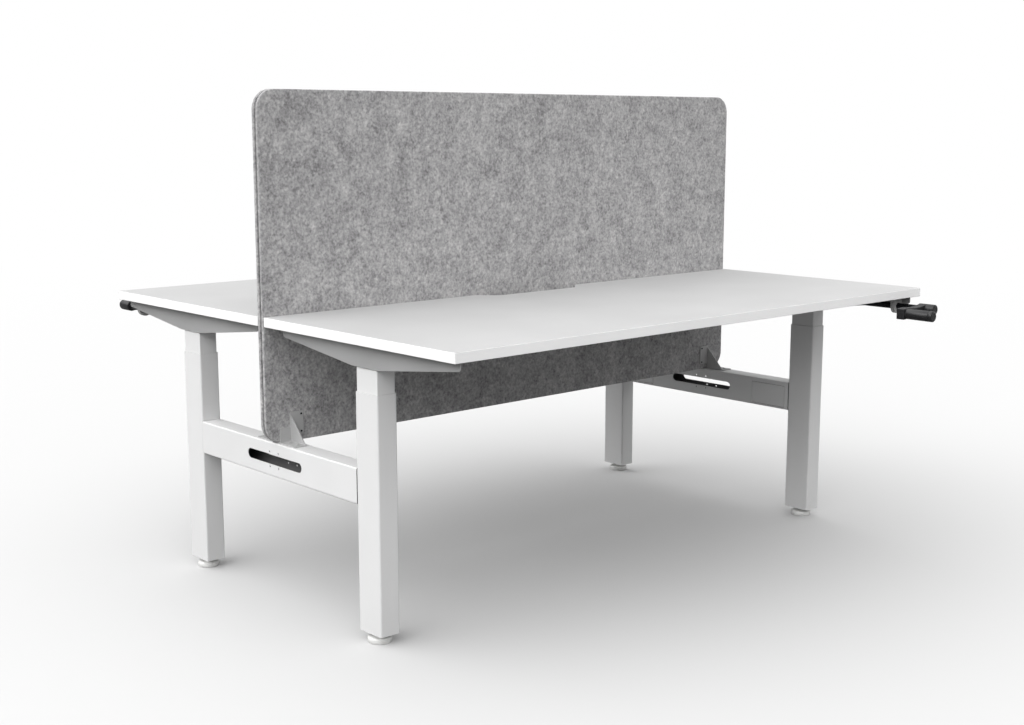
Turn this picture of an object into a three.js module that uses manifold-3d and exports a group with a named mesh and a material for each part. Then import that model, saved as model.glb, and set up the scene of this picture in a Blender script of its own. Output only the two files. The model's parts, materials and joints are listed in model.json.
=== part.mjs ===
// Benching desk for two. A shared steel frame with a felt screen carries two worktops back to back,
// and each worktop is raised on telescopic legs by its own crank.
// Millimetres, +Z up. X runs along the desk and Y across it, from the near user to the far user.
// The origin is on the floor, under the middle of the desk.

import * as THREE from "three";
import { mergeVertices } from "three/addons/utils/BufferGeometryUtils.js";
import Module from "manifold-3d";

const wasm = await Module();
wasm.setup();

// Fits and facets
const CLEARANCE = 0.3; // between pieces that seat on each other
const RUNNING_CLEARANCE = 0.4; // round a shaft that turns
const ROUND_STEPS = 24;
const HIDDEN_STEPS = 12;
const ARC_STEPS = 4;
const EDGE_STEPS = 2;
const CUT = 2; // how far a cutting tool runs past the face that it opens

// Worktops
const DESK_LENGTH = 1800;
const WORKTOP_DEPTH = 750;
const WORKTOP_THICKNESS = 25;
const WORKTOP_HEIGHT = 757; // floor to the top surface
const WORKTOP_CORNER = 3;
const WORKTOP_EDGE = 1.5;
const SCALLOP_MOUTH = 400; // cable scallop in the rear edge
const SCALLOP_FLOOR = 300;
const SCALLOP_DEPTH = 50;
const SCALLOP_RADIUS = 30;

// Screen: two felt sheets on a darker core that is set back at the edge
const SCREEN_HEIGHT = 895;
const SCREEN_CORNER = 50;
const SCREEN_CORNER_STEPS = 8;
const FELT_THICKNESS = 9;
const FELT_EDGE = 1;
const CORE_THICKNESS = 6.4;
const CORE_RECESS = 4;
const SCREEN_TO_WORKTOP = 1.5;

// Legs: an outer tube on the floor side and a column that slides in it
const LEG_INSET = 58; // worktop end to the middle of the leg
const LEG_SPREAD = 404; // middle of the desk to the middle of the leg
const LEG_WIDTH = 58;
const LEG_DEPTH = 87;
const LEG_WALL = 1.5;
const LEG_CORNER = 5;
const LEG_PLATE = 3;
const COLUMN_WALL = 2;
const COLUMN_REVEAL = 60; // column that shows between the leg and the arm
const COLUMN_IN_LEG = 502;
const BUSH_WALL = 0.9;
const BUSH_HEIGHT = 60;

// Levelling glides
const GLIDE_DIAMETER = 60;
const GLIDE_HEIGHT = 15;
const GLIDE_BEVEL = 4;
const GLIDE_NUT_DIAMETER = 20;
const GLIDE_NUT_HEIGHT = 9.7;
const STUD_DIAMETER = 10;
const STUD_LENGTH = 45;

// End beams, one between the two legs of each end
const BEAM_TOP = 427;
const BEAM_HEIGHT = 90;
const BEAM_WALL = 2;
const BEAM_CORNER = 4;
const SLOT_LENGTH = 250; // cable slot through both walls
const SLOT_HEIGHT = 26;
const FIXING_PITCH = 40; // square hole pattern round the slot's middle
const FIXING_HOLE = 5;
const COVER_LENGTH = 130; // access covers in the inner wall
const COVER_FROM_LEG = 15;
const COVER_TOP_MARGIN = 14;
const COVER_BOTTOM_MARGIN = 6;
const COVER_CORNER = 2;
const TONGUE_LENGTH = 5; // clip tongues behind the wall
const TONGUE_WIDTH = 24;
const TONGUE_SHEET = 1.5;

// Screen brackets, folded from sheet
const BRACKET_SHEET = 3;
const BRACKET_EDGE = 6; // beam's outer face to the base plate
const BASE_WIDTH = 36;
const BASE_REACH = 74;
const FACE_WIDTH = 40; // tall plate that is screwed to the felt
const FACE_BOTTOM = 17;
const FACE_TOP = 77;
const TAB_WIDTH = 31; // low plate beside the gusset
const TAB_HEIGHT = 38;
const TAB_RADIUS = 6;
const GUSSET_HEIGHT = 71;
const GUSSET_REACH = 66;
const BRACKET_CORNER = 3;
const BRACKET_HOLE = 5;
const BRACKET_HOLE_EDGE = 7;

// Worktop arms: angles with a tapered outer flange
const ARM_SHEET = 3.5;
const ARM_WIDTH = 60;
const ARM_BEND = 6;
const ARM_ROOT_DEPTH = 58; // flange below the worktop at the leg
const ARM_END_DEPTH = 22;
const ARM_ROOT_LENGTH = 104;
const ARM_ROOT_RADIUS = 150;
const ARM_END_RADIUS = 8;
const ARM_FRONT_INSET = 15; // from the worktop's front edge
const ARM_REAR_INSET = 45;

// Lifting drive
const SHAFT_DROP = 28; // worktop's underside to the shaft axes
const SHAFT_DIAMETER = 18;
const CROSS_SHAFT_FLATS = 12; // hexagon rod between the two gearboxes
const JOURNAL = 15; // length of a shaft inside its gearbox
const GEARBOX_BELOW = 20;
const GEARBOX_CORNER = 2;
const SPINDLE_DIAMETER = 16;
const SPINDLE_LENGTH = 480;
const COLLAR_DIAMETER = 26;
const COLLAR_HEIGHT = 6;
const POST_DIAMETER = 30;
const POST_BORE = 24;
const POST_BELOW_LEG_TOP = 14;
const POST_FOOT_DIAMETER = 44;
const POST_FOOT_HEIGHT = 4;
const NUT_HEIGHT = 30;
const BEARING_RADIUS = 21;
const BEARING_LENGTH = 13;
const BEARING_FROM_ARM_END = 22;

// Crank
const CRANK_STANDOFF = 35; // worktop's front edge to the back of the hub
const CRANK_RADIUS = 105;
const CRANK_REST = THREE.MathUtils.degToRad(2.5); // how far the arm hangs below level
const HUB_DIAMETER = 30;
const HUB_LENGTH = 52;
const HUB_SOCKET = 34;
const CRANK_ARM_THICKNESS = 25;
const CRANK_WAIST = 22;
const CRANK_BLOCK = 31;
const CRANK_BLOCK_CORNER = 2;
const PIN_DIAMETER = 8;
const GRIP_DIAMETER = 31;
const GRIP_NECK = 29.5;
const GRIP_LENGTH = 86;
const GRIP_CAP = 12;
const GRIP_GROOVE = 0.8;
const GRIP_EDGE = 2.5;
const GRIP_END_WALL = 8;

// Sizes that follow from the ones above
const screenHalf = CORE_THICKNESS / 2 + CLEARANCE + FELT_THICKNESS;
const worktopRear = screenHalf + SCREEN_TO_WORKTOP;
const worktopFront = worktopRear + WORKTOP_DEPTH;
const underside = WORKTOP_HEIGHT - WORKTOP_THICKNESS;
const legX = DESK_LENGTH / 2 - LEG_INSET;
const armTop = underside - CLEARANCE;
const armRoot = underside - ARM_ROOT_DEPTH;
const shaftZ = underside - SHAFT_DROP;
const legBottom = GLIDE_HEIGHT + GLIDE_NUT_HEIGHT + CLEARANCE;
const legFloor = legBottom + LEG_PLATE;
const legTop = armRoot - COLUMN_REVEAL;
const legInnerWidth = LEG_WIDTH - 2 * LEG_WALL;
const legInnerDepth = LEG_DEPTH - 2 * LEG_WALL;
const bushGap = BUSH_WALL + 2 * CLEARANCE;
const columnWidth = legInnerWidth - 2 * bushGap;
const columnDepth = legInnerDepth - 2 * bushGap;
const columnCorner = LEG_CORNER - LEG_WALL - bushGap;
const underArm = armTop - ARM_SHEET - CLEARANCE;
const columnTop = underArm - (ARM_BEND - ARM_SHEET); // clear of the arm's inner bend
const columnBottom = legTop - COLUMN_IN_LEG;
const gearboxWidth = columnWidth - 2 * COLUMN_WALL - 2 * CLEARANCE;
const gearboxDepth = columnDepth - 2 * COLUMN_WALL - 2 * CLEARANCE;
const gearboxBottom = shaftZ - GEARBOX_BELOW;
const armFace = columnWidth / 2 + CLEARANCE + ARM_SHEET;
const armFront = worktopFront - ARM_FRONT_INSET;
const armRear = worktopRear + ARM_REAR_INSET;
const crossShaftRadius = CROSS_SHAFT_FLATS / Math.sqrt(3);
const screenBottom = BEAM_TOP + CLEARANCE;
const beamEnd = LEG_SPREAD - LEG_DEPTH / 2 - CLEARANCE;
const beamMiddle = BEAM_TOP - BEAM_HEIGHT / 2;

// Finishes
const finish = (color, roughness, metalness) =>
  new THREE.MeshStandardMaterial({ color, roughness, metalness });
const POWDER_COAT = finish("#eeeeec", 0.5, 0.0);
const LAMINATE = finish("#f1f1f0", 0.45, 0.0);
const FELT = finish("#a3a2a2", 1.0, 0.0);
const FELT_CORE = finish("#6b6b6b", 1.0, 0.0);
const WHITE_PLASTIC = finish("#e9e9e7", 0.45, 0.0);
const GREY_PLASTIC = finish("#9b9b9a", 0.5, 0.0);
const BLACK_PLASTIC = finish("#222223", 0.4, 0.0);
const DARK_STEEL = finish("#3a3b3d", 0.4, 0.8);
const ZINC_STEEL = finish("#a6a8ab", 0.35, 0.9);

// Four corners of a rectangle about [x, y], each with a radius, anticlockwise.
function rectangle(width, height, radius = 0, x = 0, y = 0) {
  return [
    [x - width / 2, y - height / 2, radius],
    [x + width / 2, y - height / 2, radius],
    [x + width / 2, y + height / 2, radius],
    [x - width / 2, y + height / 2, radius],
  ];
}

// A closed outline through corners [x, y, radius]. A corner with a radius becomes an arc.
function outline(corners, steps = ARC_STEPS) {
  const at = (i) => new THREE.Vector2(...corners[(i + corners.length) % corners.length]);
  const middle = new THREE.Vector2();
  const points = corners.flatMap(([, , radius = 0], i) => {
    const corner = at(i);
    if (radius < CLEARANCE) return [corner];
    const back = at(i - 1).sub(corner).normalize();
    const ahead = at(i + 1).sub(corner).normalize();
    const half = back.angleTo(ahead) / 2;
    const inward = back.clone().add(ahead).normalize();
    const centre = inward.multiplyScalar(radius / Math.sin(half)).add(corner);
    const start = back.clone().multiplyScalar(radius / Math.tan(half)).add(corner).sub(centre);
    const sweep = Math.sign(ahead.cross(back)) * (Math.PI - 2 * half);
    return Array.from({ length: steps + 1 }, (_, n) =>
      start.clone().rotateAround(middle, (sweep * n) / steps).add(centre),
    );
  });
  return new THREE.Shape(points);
}

// A shape pushed along an axis: it lies in XY for z, in XZ for y and in YZ for x.
function extrude(shape, axis, from, to, edge = 0) {
  const geometry = new THREE.ExtrudeGeometry(shape, {
    depth: to - from - 2 * edge,
    bevelEnabled: edge > 0,
    bevelThickness: edge,
    bevelSize: edge,
    bevelOffset: -edge,
    bevelSegments: EDGE_STEPS,
  });
  geometry.translate(0, 0, edge);
  if (axis === "z") return geometry.translate(0, 0, from);
  geometry.rotateX(Math.PI / 2);
  if (axis === "y") return geometry.translate(0, to, 0);
  return geometry.rotateZ(Math.PI / 2).translate(from, 0, 0);
}

// A solid turned about Z, from [radius, height] points that climb its outer side.
function turn(profile, steps = ROUND_STEPS) {
  const points = profile.map(([radius, height]) => new THREE.Vector2(radius, height));
  return new THREE.LatheGeometry(points, steps).rotateX(Math.PI / 2);
}

// A straight rod between two places on an axis.
function rod(radius, axis, from, to, steps = ROUND_STEPS) {
  const profile = [
    [0, from],
    [radius, from],
    [radius, to],
    [0, to],
  ];
  const geometry = turn(profile, steps);
  if (axis === "x") return geometry.rotateY(Math.PI / 2);
  if (axis === "y") return geometry.rotateX(-Math.PI / 2);
  return geometry;
}

// The bore for a turning shaft: its flats stay clear of the shaft by the running clearance.
function boreFor(radius, steps = ROUND_STEPS) {
  return (radius + RUNNING_CLEARANCE) / Math.cos(Math.PI / steps);
}

function solidOf(geometry) {
  const bare = geometry.index ? geometry.toNonIndexed() : geometry.clone();
  bare.deleteAttribute("normal");
  bare.deleteAttribute("uv");
  const merged = mergeVertices(bare, 1e-3);
  const vertProperties = merged.getAttribute("position").array;
  const triVerts = new Uint32Array(merged.index.array);
  return new wasm.Manifold(new wasm.Mesh({ numProp: 3, vertProperties, triVerts }));
}

function geometryOf(solid) {
  const { vertProperties, triVerts } = solid.getMesh();
  const geometry = new THREE.BufferGeometry();
  geometry.setAttribute("position", new THREE.BufferAttribute(vertProperties, 3));
  geometry.setIndex(new THREE.BufferAttribute(triVerts, 1));
  geometry.computeVertexNormals();
  return geometry;
}

function join(first, ...others) {
  return geometryOf(others.reduce((all, one) => all.add(solidOf(one)), solidOf(first)));
}

function cut(body, ...tools) {
  return geometryOf(tools.reduce((left, tool) => left.subtract(solidOf(tool)), solidOf(body)));
}

function overlap(one, other) {
  return geometryOf(solidOf(one).intersect(solidOf(other)));
}

// A rectangular tube along an axis.
function tube({ width, height, corner, wall, middle = 0 }, axis, from, to) {
  const outer = outline(rectangle(width, height, corner, 0, middle));
  const inner = outline(rectangle(width - 2 * wall, height - 2 * wall, corner - wall, 0, middle));
  return cut(extrude(outer, axis, from, to), extrude(inner, axis, from - CUT, to + CUT));
}

function piece(name, geometry, material) {
  const mesh = new THREE.Mesh(geometry, material);
  mesh.name = name;
  return mesh;
}

// A worktop board with rounded edges and the scallop that lets cables past the screen.
function worktopBoard() {
  const half = DESK_LENGTH / 2;
  const scallopFloor = -worktopRear - SCALLOP_DEPTH;
  const board = outline([
    [-half, -worktopFront, WORKTOP_CORNER],
    [half, -worktopFront, WORKTOP_CORNER],
    [half, -worktopRear, WORKTOP_CORNER],
    [SCALLOP_MOUTH / 2, -worktopRear, SCALLOP_RADIUS],
    [SCALLOP_FLOOR / 2, scallopFloor, SCALLOP_RADIUS],
    [-SCALLOP_FLOOR / 2, scallopFloor, SCALLOP_RADIUS],
    [-SCALLOP_MOUTH / 2, -worktopRear, SCALLOP_RADIUS],
    [-half, -worktopRear, WORKTOP_CORNER],
  ]);
  return extrude(board, "z", underside, WORKTOP_HEIGHT, WORKTOP_EDGE);
}

// An angle under the worktop: its outer flange is deep at the leg and tapers to both ends.
function worktopArm() {
  const section = outline([
    [armFace - ARM_SHEET, armRoot],
    [armFace, armRoot],
    [armFace, armTop, ARM_BEND],
    [armFace - ARM_WIDTH, armTop],
    [armFace - ARM_WIDTH, armTop - ARM_SHEET],
    [armFace - ARM_SHEET, armTop - ARM_SHEET, ARM_BEND - ARM_SHEET],
  ]);
  const profile = outline([
    [-armFront, underside - ARM_END_DEPTH, ARM_END_RADIUS],
    [-LEG_SPREAD - ARM_ROOT_LENGTH / 2, armRoot, ARM_ROOT_RADIUS],
    [-LEG_SPREAD + ARM_ROOT_LENGTH / 2, armRoot, ARM_ROOT_RADIUS],
    [-armRear, underside - ARM_END_DEPTH, ARM_END_RADIUS],
    [-armRear, armTop + CUT],
    [-armFront, armTop + CUT],
  ]);
  const angle = extrude(section, "y", -armFront, -armRear);
  return overlap(angle, extrude(profile, "x", armFace - ARM_WIDTH - CUT, armFace + CUT));
}

// The sliding part of a leg, with holes for the shafts that enter its gearbox.
function column(hasCrank) {
  const section = { width: columnWidth, height: columnDepth, corner: columnCorner, wall: COLUMN_WALL };
  const crossHole = rod(boreFor(crossShaftRadius), "x", -columnWidth, 0);
  const holes = [crossHole.translate(0, 0, shaftZ)];
  if (hasCrank) {
    const crankHole = rod(boreFor(SHAFT_DIAMETER / 2), "y", -columnDepth, 0);
    holes.push(crankHole.translate(0, 0, shaftZ));
  }
  return cut(tube(section, "z", columnBottom, columnTop), ...holes);
}

// A bevel gearbox in the head of a column, with a socket for each shaft.
function gearbox(hasCrank) {
  const block = outline(rectangle(gearboxWidth, gearboxDepth, GEARBOX_CORNER));
  const housing = extrude(block, "z", gearboxBottom, columnTop);
  const depth = JOURNAL + CUT;
  const spindleSocket = rod(boreFor(SPINDLE_DIAMETER / 2, HIDDEN_STEPS), "z", -CUT, depth, HIDDEN_STEPS);
  const crossSocket = rod(boreFor(crossShaftRadius, HIDDEN_STEPS), "x", -CUT, depth, HIDDEN_STEPS);
  const sockets = [
    spindleSocket.translate(0, 0, gearboxBottom),
    crossSocket.translate(-gearboxWidth / 2, 0, shaftZ),
  ];
  if (hasCrank) {
    const crankSocket = rod(boreFor(SHAFT_DIAMETER / 2, HIDDEN_STEPS), "y", -CUT, depth, HIDDEN_STEPS);
    sockets.push(crankSocket.translate(0, -gearboxDepth / 2, shaftZ));
  }
  return cut(housing, ...sockets);
}

// The lifting screw: it hangs from the gearbox on a collar and turns in the nut.
function spindle() {
  const radius = SPINDLE_DIAMETER / 2;
  const collarTop = gearboxBottom - CLEARANCE;
  const collarBottom = collarTop - COLLAR_HEIGHT;
  const profile = [
    [0, collarBottom - SPINDLE_LENGTH],
    [radius, collarBottom - SPINDLE_LENGTH],
    [radius, collarBottom],
    [COLLAR_DIAMETER / 2, collarBottom],
    [COLLAR_DIAMETER / 2, collarTop],
    [radius, collarTop],
    [radius, gearboxBottom + JOURNAL],
    [0, gearboxBottom + JOURNAL],
  ];
  return turn(profile, HIDDEN_STEPS);
}

// The post that stands in a leg and holds the nut of the lifting screw.
function nutPost() {
  const bottom = legFloor + CLEARANCE;
  const top = legTop - POST_BELOW_LEG_TOP;
  const nutBore = boreFor(SPINDLE_DIAMETER / 2, HIDDEN_STEPS);
  const profile = [
    [POST_BORE / 2, bottom],
    [POST_FOOT_DIAMETER / 2, bottom],
    [POST_FOOT_DIAMETER / 2, bottom + POST_FOOT_HEIGHT],
    [POST_DIAMETER / 2, bottom + POST_FOOT_HEIGHT],
    [POST_DIAMETER / 2, top],
    [nutBore, top],
    [nutBore, top - NUT_HEIGHT],
    [POST_BORE / 2, top - NUT_HEIGHT],
    [POST_BORE / 2, bottom],
  ];
  return turn(profile, HIDDEN_STEPS);
}

// The outer tube of a leg, closed below by the plate that takes the glide.
function legTube() {
  const section = { width: LEG_WIDTH, height: LEG_DEPTH, corner: LEG_CORNER, wall: LEG_WALL };
  const foot = outline(rectangle(LEG_WIDTH, LEG_DEPTH, LEG_CORNER));
  const plate = extrude(foot, "z", legBottom, legFloor);
  const studHole = rod(boreFor(STUD_DIAMETER / 2), "z", legBottom - CUT, legFloor + CUT);
  return cut(join(tube(section, "z", legBottom, legTop), plate), studHole);
}

// The slide bush between the two tubes, at the mouth of the outer one.
function columnBush() {
  const section = {
    width: legInnerWidth - 2 * CLEARANCE,
    height: legInnerDepth - 2 * CLEARANCE,
    corner: LEG_CORNER - LEG_WALL - CLEARANCE,
    wall: BUSH_WALL,
  };
  return tube(section, "z", legTop - BUSH_HEIGHT, legTop);
}

// A levelling glide: pad, nut and threaded stud in one.
function glide() {
  const pad = GLIDE_DIAMETER / 2;
  const nutTop = GLIDE_HEIGHT + GLIDE_NUT_HEIGHT;
  const stud = STUD_DIAMETER / 2;
  return turn([
    [0, 0],
    [pad - GLIDE_BEVEL / 2, 0],
    [pad, GLIDE_BEVEL / 2],
    [pad, GLIDE_HEIGHT - GLIDE_BEVEL],
    [pad - GLIDE_BEVEL, GLIDE_HEIGHT],
    [GLIDE_NUT_DIAMETER / 2, GLIDE_HEIGHT],
    [GLIDE_NUT_DIAMETER / 2, nutTop],
    [stud, nutTop],
    [stud, GLIDE_HEIGHT + STUD_LENGTH],
    [0, GLIDE_HEIGHT + STUD_LENGTH],
  ]);
}

// Where the access covers lie along a beam, and how high they are.
const coverMiddle = beamEnd + CLEARANCE - COVER_FROM_LEG - COVER_LENGTH / 2;
const coverHeight = BEAM_HEIGHT - COVER_TOP_MARGIN - COVER_BOTTOM_MARGIN;
const coverZ = BEAM_TOP - COVER_TOP_MARGIN - coverHeight / 2;

// A beam with its cable slot, fixing holes and the windows of its access covers. +X is outwards.
function endBeam() {
  const section = {
    width: LEG_WIDTH,
    height: BEAM_HEIGHT,
    corner: BEAM_CORNER,
    wall: BEAM_WALL,
    middle: beamMiddle,
  };
  const through = LEG_WIDTH / 2 + CUT;
  const slot = outline(rectangle(SLOT_LENGTH, SLOT_HEIGHT, SLOT_HEIGHT / 2, 0, beamMiddle));
  const tools = [extrude(slot, "x", -through, through)];
  for (const y of [-FIXING_PITCH / 2, FIXING_PITCH / 2]) {
    for (const z of [-FIXING_PITCH / 2, FIXING_PITCH / 2]) {
      const hole = rod(FIXING_HOLE / 2, "x", -through, through, ROUND_STEPS / 2);
      tools.push(hole.translate(0, y, beamMiddle + z));
    }
  }
  for (const y of [-coverMiddle, coverMiddle]) {
    const window = outline(rectangle(COVER_LENGTH, coverHeight, COVER_CORNER, y, coverZ));
    tools.push(extrude(window, "x", -through, -through + BEAM_WALL + 2 * CUT));
  }
  return cut(tube(section, "y", -beamEnd, beamEnd), ...tools);
}

// A flush cover that clips into its window with a tongue behind the wall at each end.
function beamCover() {
  const length = COVER_LENGTH - 2 * CLEARANCE;
  const outer = -LEG_WIDTH / 2;
  const behind = outer + BEAM_WALL + CLEARANCE;
  const plate = outline(rectangle(length, coverHeight - 2 * CLEARANCE, COVER_CORNER, 0, coverZ));
  const tongue = outline(rectangle(length + 2 * TONGUE_LENGTH, TONGUE_WIDTH, 0, 0, coverZ));
  return join(
    extrude(plate, "x", outer, behind + TONGUE_SHEET),
    extrude(tongue, "x", behind, behind + TONGUE_SHEET),
  );
}

// A screen bracket on a beam. +X is outwards, and the felt is behind the plane y = 0.
function screenBracket() {
  const bottom = screenBottom;
  const baseOuter = LEG_WIDTH / 2 - BRACKET_EDGE;
  const gussetOuter = baseOuter - BASE_WIDTH;
  const gussetInner = gussetOuter - BRACKET_SHEET;
  const faceInner = gussetOuter - FACE_WIDTH;
  const back = outline([
    [gussetInner, bottom],
    [gussetOuter + TAB_WIDTH, bottom],
    [gussetOuter + TAB_WIDTH, bottom + TAB_HEIGHT, TAB_RADIUS],
    [gussetOuter, bottom + TAB_HEIGHT, TAB_RADIUS],
    [gussetOuter, bottom + FACE_TOP, BRACKET_CORNER],
    [faceInner, bottom + FACE_TOP, BRACKET_CORNER],
    [faceInner, bottom + FACE_BOTTOM, BRACKET_CORNER],
    [gussetInner, bottom + FACE_BOTTOM],
  ]);
  const base = outline([
    [gussetInner, -BASE_REACH, BRACKET_CORNER],
    [baseOuter, -BASE_REACH, BRACKET_CORNER],
    [baseOuter, 0],
    [gussetInner, 0],
  ]);
  const gusset = outline([
    [-GUSSET_REACH, bottom],
    [0, bottom],
    [0, bottom + GUSSET_HEIGHT],
    [-BRACKET_SHEET, bottom + GUSSET_HEIGHT],
    [-GUSSET_REACH, bottom + BRACKET_SHEET],
  ]);
  const folded = join(
    extrude(back, "y", -BRACKET_SHEET, 0),
    extrude(base, "z", bottom, bottom + BRACKET_SHEET),
    extrude(gusset, "x", gussetInner, gussetOuter),
  );
  const holes = [FACE_TOP - BRACKET_HOLE_EDGE, FACE_BOTTOM + BRACKET_HOLE_EDGE].map((height) => {
    const hole = rod(BRACKET_HOLE / 2, "y", -BRACKET_SHEET - CUT, CUT, ROUND_STEPS / 2);
    return hole.translate(faceInner + BRACKET_HOLE_EDGE, 0, bottom + height);
  });
  return cut(folded, ...holes);
}

// One layer of the screen between two places across the desk, set back from the outline.
function screenLayer(from, to, recess, edge) {
  const middle = screenBottom + SCREEN_HEIGHT / 2;
  const corners = rectangle(
    DESK_LENGTH - 2 * recess,
    SCREEN_HEIGHT - 2 * recess,
    SCREEN_CORNER - recess,
    0,
    middle,
  );
  return extrude(outline(corners, SCREEN_CORNER_STEPS), "y", from, to, edge);
}

// The block under the front of an arm in which the crank shaft turns.
function crankBearing() {
  const front = -armFront + BEARING_FROM_ARM_END;
  const block = outline([
    [-BEARING_RADIUS, shaftZ - BEARING_RADIUS, BEARING_RADIUS],
    [BEARING_RADIUS, shaftZ - BEARING_RADIUS, BEARING_RADIUS],
    [BEARING_RADIUS, underArm],
    [-BEARING_RADIUS, underArm],
  ], ROUND_STEPS / 4);
  const body = extrude(block, "y", front, front + BEARING_LENGTH);
  const bore = rod(boreFor(SHAFT_DIAMETER / 2), "y", front - CUT, front + BEARING_LENGTH + CUT);
  return cut(body, bore.translate(0, 0, shaftZ));
}

// The crank, with its hub's back at y = 0, its arm towards -X and its grip pin towards -Y.
function crankHandle() {
  const hub = HUB_DIAMETER / 2;
  const block = CRANK_BLOCK / 2;
  const blockStart = -CRANK_RADIUS + block;
  const waist = 2 * (CRANK_WAIST / 2) - (hub + block) / 2;
  const arm = new THREE.Shape();
  arm.moveTo(0, -hub);
  arm.lineTo(0, hub);
  arm.quadraticCurveTo(blockStart / 2, waist, blockStart, block);
  arm.lineTo(blockStart, -block);
  arm.quadraticCurveTo(blockStart / 2, -waist, 0, -hub);
  const end = outline(rectangle(CRANK_BLOCK, CRANK_BLOCK, CRANK_BLOCK_CORNER, -CRANK_RADIUS, 0));
  const pinEnd = CRANK_ARM_THICKNESS + GRIP_LENGTH - GRIP_END_WALL - CLEARANCE;
  const body = join(
    rod(hub, "y", -HUB_LENGTH, 0),
    extrude(arm, "y", -CRANK_ARM_THICKNESS, 0),
    extrude(end, "y", -CRANK_ARM_THICKNESS, 0),
    rod(PIN_DIAMETER / 2, "y", -pinEnd, -CRANK_ARM_THICKNESS / 2).translate(-CRANK_RADIUS, 0, 0),
  );
  return cut(body, rod(SHAFT_DIAMETER / 2 + CLEARANCE, "y", -HUB_SOCKET, CUT));
}

// The grip that turns on the crank's pin, with a groove round its end cap.
function crankGrip() {
  const bore = boreFor(PIN_DIAMETER / 2);
  const radius = GRIP_DIAMETER / 2;
  const start = CRANK_ARM_THICKNESS + CLEARANCE;
  const end = CRANK_ARM_THICKNESS + GRIP_LENGTH;
  const capStart = end - GRIP_CAP;
  return turn([
    [bore, start],
    [GRIP_NECK / 2 - GRIP_EDGE / 2, start],
    [GRIP_NECK / 2, start + GRIP_EDGE / 2],
    [radius, capStart - GRIP_GROOVE],
    [radius - GRIP_GROOVE, capStart - GRIP_GROOVE / 2],
    [radius, capStart],
    [radius, end - GRIP_EDGE],
    [radius - GRIP_EDGE, end],
    [0, end],
    [0, end - GRIP_END_WALL],
    [bore, end - GRIP_END_WALL],
    [bore, start],
  ]).rotateX(Math.PI / 2);
}

// The fixed frame: legs, glides, nut posts, beams, covers, brackets and the screen.
function makeFrame() {
  const frame = new THREE.Group();
  const ends = [
    ["left", -1],
    ["right", 1],
  ];
  const users = [
    ["near", -1],
    ["far", 1],
  ];
  for (const [end, x] of ends) {
    const beam = piece(`${end}_beam`, endBeam(), POWDER_COAT);
    beam.position.x = x * legX;
    beam.scale.x = x;
    frame.add(beam);
    for (const [user, y] of users) {
      const stand = new THREE.Group();
      stand.position.set(x * legX, y * LEG_SPREAD, 0);
      stand.add(
        piece(`${user}_${end}_leg`, legTube(), POWDER_COAT),
        piece(`${user}_${end}_bush`, columnBush(), GREY_PLASTIC),
        piece(`${user}_${end}_nut_post`, nutPost(), ZINC_STEEL),
        piece(`${user}_${end}_glide`, glide(), WHITE_PLASTIC),
      );
      const cover = piece(`${user}_${end}_beam_cover`, beamCover(), POWDER_COAT);
      cover.position.set(x * legX, y * coverMiddle, 0);
      cover.scale.x = x;
      const bracket = piece(`${user}_${end}_screen_bracket`, screenBracket(), POWDER_COAT);
      bracket.position.set(x * legX, y * (screenHalf + CLEARANCE), 0);
      bracket.scale.set(x, -y, 1);
      frame.add(stand, cover, bracket);
    }
  }
  const coreHalf = CORE_THICKNESS / 2;
  const feltInner = coreHalf + CLEARANCE;
  frame.add(
    piece("near_felt", screenLayer(-screenHalf, -feltInner, 0, FELT_EDGE), FELT),
    piece("screen_core", screenLayer(-coreHalf, coreHalf, CORE_RECESS, 0), FELT_CORE),
    piece("far_felt", screenLayer(feltInner, screenHalf, 0, FELT_EDGE), FELT),
  );
  return frame;
}

// One user's worktop with what rises with it, drawn for the near user: the crank is at +X.
function makeLift(user, crankEnd, otherEnd) {
  const lift = new THREE.Group();
  lift.add(piece(`${user}_worktop`, worktopBoard(), LAMINATE));
  const legs = [
    [crankEnd, 1],
    [otherEnd, -1],
  ];
  for (const [end, x] of legs) {
    const hasCrank = end === crankEnd;
    const leg = new THREE.Group();
    leg.position.set(x * legX, -LEG_SPREAD, 0);
    leg.scale.x = x;
    leg.add(
      piece(`${user}_${end}_column`, column(hasCrank), POWDER_COAT),
      piece(`${user}_${end}_gearbox`, gearbox(hasCrank), DARK_STEEL),
      piece(`${user}_${end}_spindle`, spindle(), ZINC_STEEL),
    );
    const arm = piece(`${user}_${end}_arm`, worktopArm(), POWDER_COAT);
    arm.position.x = x * legX;
    arm.scale.x = x;
    lift.add(leg, arm);
  }
  const crossEnd = legX - gearboxWidth / 2 + JOURNAL;
  const crossShaft = rod(crossShaftRadius, "x", -crossEnd, crossEnd, 6);
  crossShaft.translate(0, -LEG_SPREAD, shaftZ);
  lift.add(piece(`${user}_cross_shaft`, crossShaft, ZINC_STEEL));

  const bearing = piece(`${user}_crank_bearing`, crankBearing(), GREY_PLASTIC);
  bearing.position.x = legX;
  const hubBack = worktopFront + CRANK_STANDOFF;
  const shaftFront = HUB_SOCKET - CLEARANCE;
  const shaftBack = hubBack - LEG_SPREAD - gearboxDepth / 2 + JOURNAL;
  const crank = new THREE.Group();
  crank.position.set(legX, -hubBack, shaftZ);
  crank.rotation.y = -CRANK_REST;
  const grip = piece(`${user}_crank_grip`, crankGrip(), BLACK_PLASTIC);
  grip.position.x = -CRANK_RADIUS;
  crank.add(
    piece(`${user}_crank_shaft`, rod(SHAFT_DIAMETER / 2, "y", -shaftFront, shaftBack), DARK_STEEL),
    piece(`${user}_crank_handle`, crankHandle(), BLACK_PLASTIC),
    grip,
  );
  lift.add(bearing, crank);
  return lift;
}

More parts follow.
